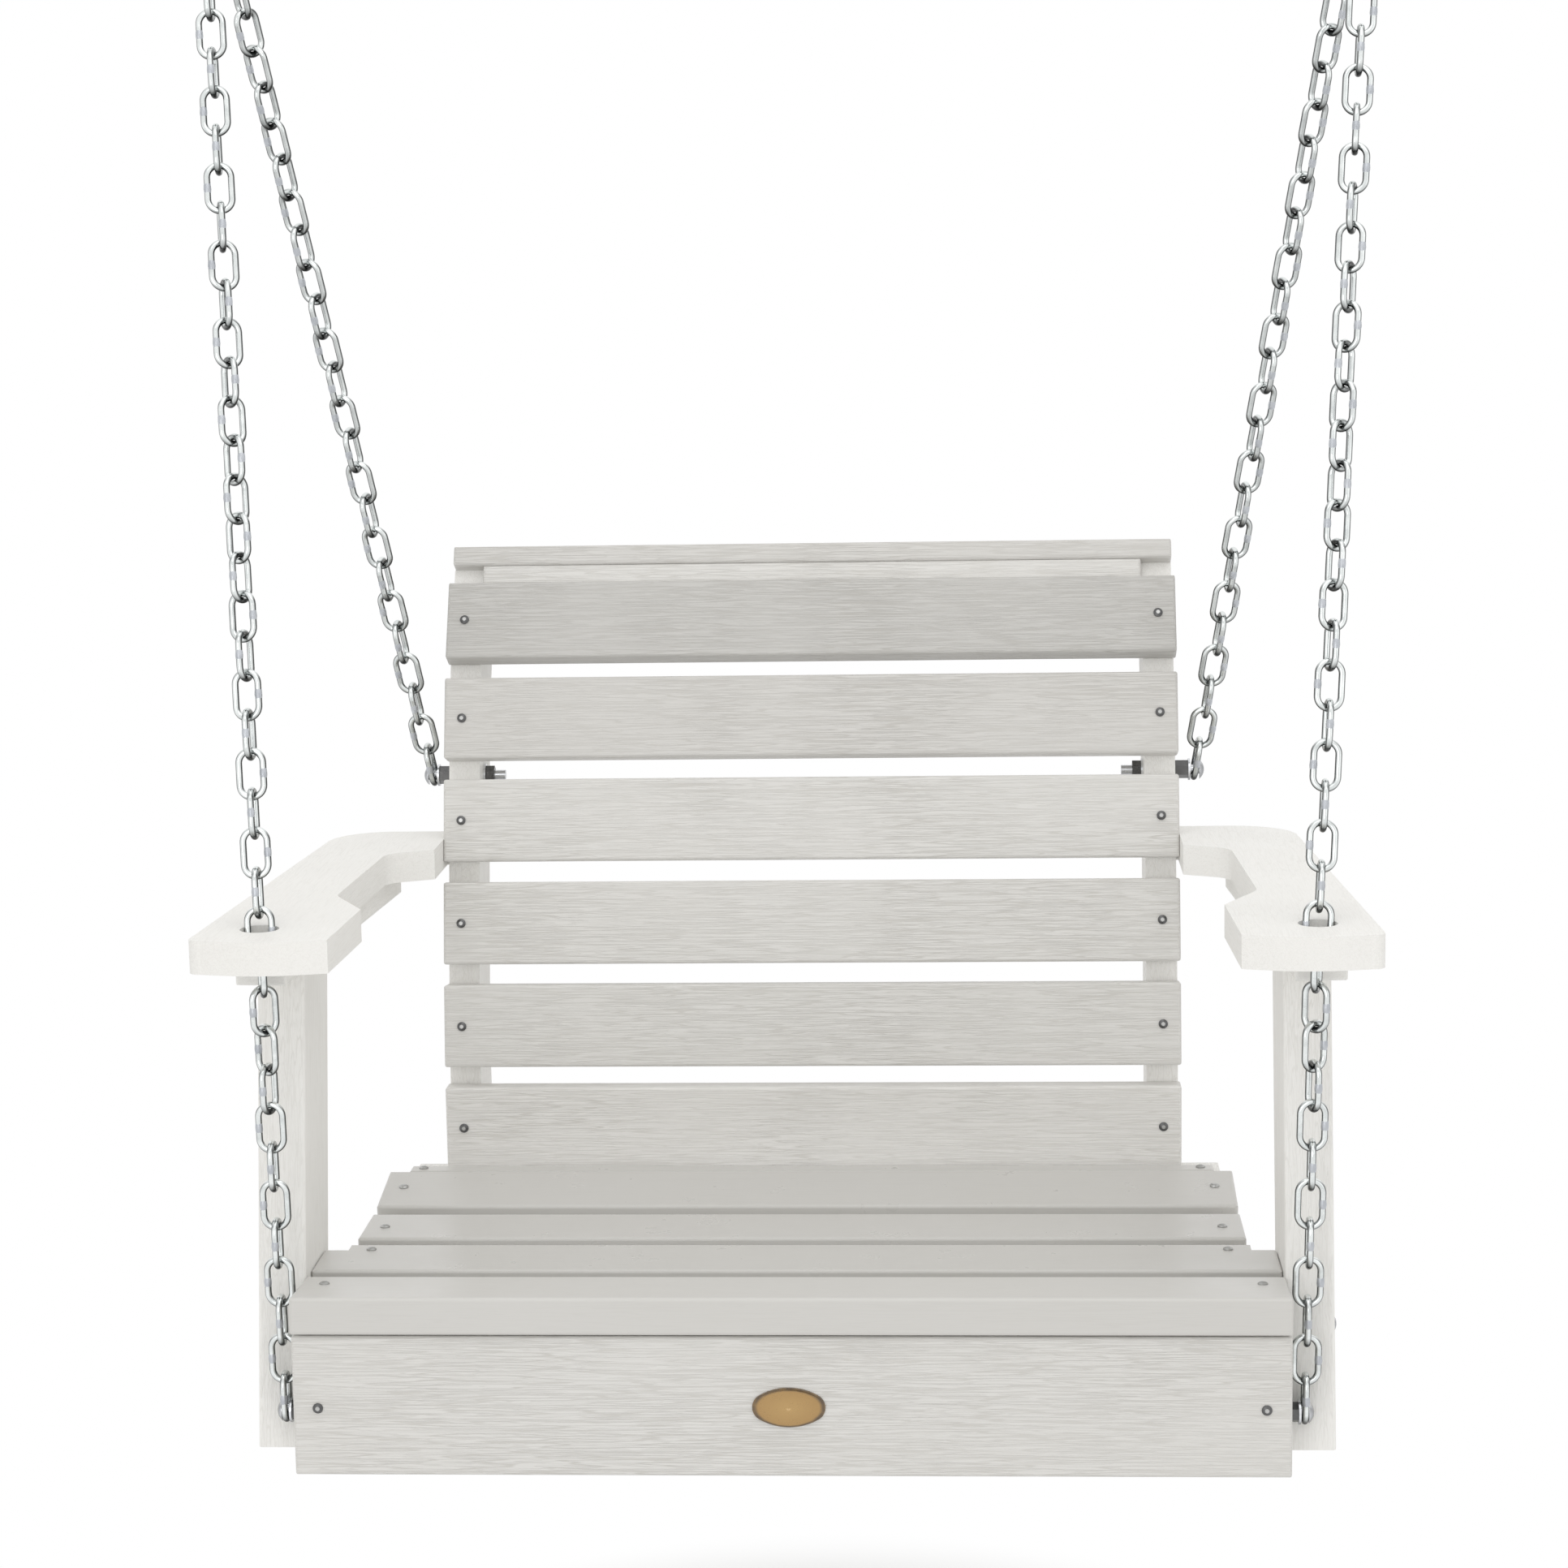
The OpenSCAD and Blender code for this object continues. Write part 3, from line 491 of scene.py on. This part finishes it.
def weld_places(a, b, start, links, first, twist):
    """Matrices of the weld in each link of a run from a towards b.

    The first link lies at the angle first; welds change side at every second link.
    """
    d = b - a
    lean = (Matrix.Rotation(atan2(-d.y, d.z), 4, "X")
            @ Matrix.Rotation(asin(d.x / d.length), 4, "Y"))
    for i in range(links):
        turn = radians(first + 90 * i + gained_turn(i, twist))
        side = 1 if (i // 2) % 2 else -1
        yield (Matrix.Translation(a) @ lean
               @ Matrix.Translation((0, 0, start + (i + 0.5) * PITCH))
               @ Matrix.Rotation(turn, 4, "Z")
               @ Matrix.Translation((side * (LINK_IN + WIRE) / 2, 0, 0)))


def add_weld(bm, place, hand):
    """A low uneven collar round the wire."""
    rows = []
    for z, radius in WELD_RINGS:
        row = []
        for k in range(WELD_SIDES):
            a = 2 * pi * k / WELD_SIDES
            r = radius * (1 + WELD_WOBBLE * sin(3 * a + z))
            p = HANG @ (place @ Vector((r * cos(a), r * sin(a), z)) / 1000)
            row.append(bm.verts.new((p.x * hand, p.y, p.z)))
        rows.append(row)
    for low, high in zip(rows, rows[1:]):
        for k in range(WELD_SIDES):
            bm.faces.new((low[k], low[k - 1], high[k - 1], high[k]))


for label, hand in (("left", -1), ("right", 1)):
    bm = bmesh.new()
    for m in (*weld_places(FRONT_BOLT, BEND, -BOLT / 2, LOW_LINKS, 90, LOW_TWIST),
              *weld_places(BEND, RING_POINT, 0, HIGH_LINKS, 0, HIGH_TWIST)):
        add_weld(bm, m, hand)
    riding_piece(label + "_front_chain_welds", bm, weld_finish, "swing")
    bm = bmesh.new()
    for m in weld_places(BACK_BOLT, RING_POINT, -BOLT / 2, REAR_LINKS, 90, REAR_TWIST):
        add_weld(bm, m, hand)
    riding_piece(label + "_rear_chain_welds", bm, weld_finish, "swing")


# ---------------------------------------------------------------- screw crowns

SAME_POINT = 0.00001
SHANK_END = 0.005
CROWN_R, CROWN_FALL, CROWN_SIDES = 0.0016, 0.00004, 12


def separate_solids(bm):
    """Points of each solid in a mesh, once the ones that coincide are joined."""
    bmesh.ops.remove_doubles(bm, verts=bm.verts, dist=SAME_POINT)
    reached = set()
    for first in bm.verts:
        if first in reached:
            continue
        reached.add(first)
        solid = [first]
        for v in solid:
            for w in (e.other_vert(v) for e in v.link_edges):
                if w not in reached:
                    reached.add(w)
                    solid.append(w)
        yield [v.co.copy() for v in solid]


def screw_heads(o):
    """Middle and outward direction of each screw head in a piece.

    Most of a screw's points are on its head, so the one farthest from their middle is
    at the end of the shank.
    """
    bm = bmesh.new()
    bm.from_mesh(o.data)
    for points in separate_solids(bm):
        centre = sum(points, Vector()) / len(points)
        far = max(points, key=lambda p: (p - centre).length)
        shank_end = [p for p in points if (p - far).length < SHANK_END]
        tip = sum(shank_end, Vector()) / len(shank_end)
        out = (centre - tip).normalized()
        yield tip + out * max((p - tip).dot(out) for p in points), out
    bm.free()


def add_crown(bm, top, out):
    """A shallow disc on top of a screw head, lighter than the head: a painted highlight."""
    seat = Matrix.Translation(top) @ out.to_track_quat("Z", "Y").to_matrix().to_4x4()
    rim = [bm.verts.new(seat @ p) for p in round_ring(CROWN_R, CROWN_SIDES, -CROWN_FALL)]
    crown = bm.verts.new(top)
    for k in range(CROWN_SIDES):
        bm.faces.new((rim[k - 1], rim[k], crown))


for name in ("back_screw", "seat_screw", "apron_screw", "cap_screw"):
    bm = bmesh.new()
    for top, out in screw_heads(nodes[name + "s"]):
        add_crown(bm, top, out)
    riding_piece(name + "_crowns", bm, crown_finish_painted_highlight, "swing")


# ---------------------------------------------------------------- studio

FLOOR_Z = -1.62
FLOOR_RADII = (0.3, 0.6, 0.9, 1.3, 2.0, 3.5, 7.0, 14.0, 30.0)
FLOOR_SIDES = 64
SHADOW_R, WHITE_R = 0.34, 0.56    # shadow shows within the first, white from the second on


def pale_floor():
    """Pale floor that keeps the shadow and turns pure white away from the swing."""
    m, tree, shader, here = new_material("pale studio floor")
    put(tree, shader, Base_Color=(0.86, 0.86, 0.86, 1), Roughness=0.9)
    reach = vector_maths(tree, (-600, 200), "LENGTH", here["Object"])
    fade = level(tree, (-400, 200), reach, "SMOOTHSTEP", From_Min=SHADOW_R, From_Max=WHITE_R)
    path = add(tree, "ShaderNodeLightPath", (-600, -200))
    seen = maths(tree, (-400, -200), "MAXIMUM",
                 path.outputs["Is Camera Ray"], path.outputs["Is Glossy Ray"])
    white = put(tree, add(tree, "ShaderNodeEmission", (600, -300)), Color=(1, 1, 1, 1))
    blend = add(tree, "ShaderNodeMixShader", (800, -100))
    sources = (maths(tree, (-200, 0), "MULTIPLY", fade, seen), shader.outputs[0],
               white.outputs[0])
    for source, socket in zip(sources, blend.inputs):
        feed(tree, source, socket)
    out = next(n for n in tree.nodes if n.type == "OUTPUT_MATERIAL")
    feed(tree, blend.outputs[0], out.inputs[0])
    return m


def studio_floor():
    """A round floor of rings that widen outwards."""
    bm = bmesh.new()
    middle = bm.verts.new((0, 0, 0))
    rows = [[bm.verts.new(p) for p in round_ring(r, FLOOR_SIDES)] for r in FLOOR_RADII]
    for k in range(FLOOR_SIDES):
        bm.faces.new((middle, rows[0][k - 1], rows[0][k]))
        for inner, outer in zip(rows, rows[1:]):
            bm.faces.new((inner[k - 1], outer[k - 1], outer[k], inner[k]))
    o = object_from("studio_floor", bm, pale_floor())
    o.location = (0, 0, FLOOR_Z)


def white_world(fill_colour, fill_strength):
    """Soft fill light from all round, in front of a white background."""
    w = bpy.data.worlds.new("white studio")
    bpy.context.scene.world = w
    w.use_nodes = True
    tree = w.node_tree
    tree.nodes.clear()
    out = add(tree, "ShaderNodeOutputWorld", (600, 0))
    fill = put(tree, add(tree, "ShaderNodeBackground", (0, 100)),
               Color=fill_colour, Strength=fill_strength)
    white = put(tree, add(tree, "ShaderNodeBackground", (0, -100)), Color=(1, 1, 1, 1))
    path = add(tree, "ShaderNodeLightPath", (-600, 0))
    direct = maths(tree, (-450, 0), "MAXIMUM",
                   path.outputs["Is Camera Ray"], path.outputs["Is Transmission Ray"])
    seen = maths(tree, (-250, 0), "MAXIMUM", direct, path.outputs["Is Glossy Ray"])
    blend = add(tree, "ShaderNodeMixShader", (300, 0))
    for source, socket in zip((seen, fill.outputs[0], white.outputs[0]), blend.inputs):
        feed(tree, source, socket)
    feed(tree, blend.outputs[0], out.inputs[0])


def soft_lamp(name, at, aim, size, power):
    """A rectangular softbox that faces its aim."""
    lamp = bpy.data.lights.new(name, "AREA")
    lamp.shape = "RECTANGLE"
    lamp.size, lamp.size_y = size
    lamp.energy = power
    o = bpy.data.objects.new(name, lamp)
    o.location = at
    o.rotation_euler = (Vector(aim) - Vector(at)).to_track_quat("-Z", "Y").to_euler()
    bpy.context.scene.collection.objects.link(o)


studio_floor()
white_world((1.0, 0.99, 0.968, 1), 0.80)
soft_lamp("overhead softbox", (0.2, -0.9, 1.6), (0, 0, -1.0), (2.6, 2.2), 14)
soft_lamp("front softbox", (-1.0, -3.6, -0.1), (0, 0, -0.95), (1.8, 1.8), 13)
soft_lamp("side softbox", (2.6, -1.6, 0.2), (0, 0, -0.95), (1.4, 1.8), 2.5)


# ---------------------------------------------------------------- camera

# Place in millimetres of the seat's own frame, angles in radians.
CAMERA_AT = Vector((140.41, -2377.92, 732.98))
CAMERA_PITCH, CAMERA_YAW, CAMERA_ROLL = 0.1525, -0.0573, 0.0165
SENSOR_MM = 36
WIDTH_PX, FOCAL_PX = 1932, 4309.39


def front_camera():
    """Camera in front of the swing, a little to the right and above the seat."""
    ahead = Vector((sin(CAMERA_YAW) * cos(CAMERA_PITCH), cos(CAMERA_YAW) * cos(CAMERA_PITCH),
                    -sin(CAMERA_PITCH)))
    right = Vector((cos(CAMERA_YAW), -sin(CAMERA_YAW), 0))
    above = right.cross(ahead)
    x = right * cos(CAMERA_ROLL) - above * sin(CAMERA_ROLL)
    y = above * cos(CAMERA_ROLL) + right * sin(CAMERA_ROLL)
    cam = bpy.data.cameras.new("camera")
    cam.sensor_width = SENSOR_MM
    cam.lens = SENSOR_MM * FOCAL_PX / WIDTH_PX
    o = bpy.data.objects.new("camera", cam)
    o.matrix_world = (HANG @ Matrix.Translation(CAMERA_AT / 1000)
                      @ Matrix((x, y, -ahead)).transposed().to_4x4())
    bpy.context.scene.collection.objects.link(o)
    bpy.context.scene.camera = o


front_camera()
bpy.context.scene.view_settings.view_transform = "Standard"
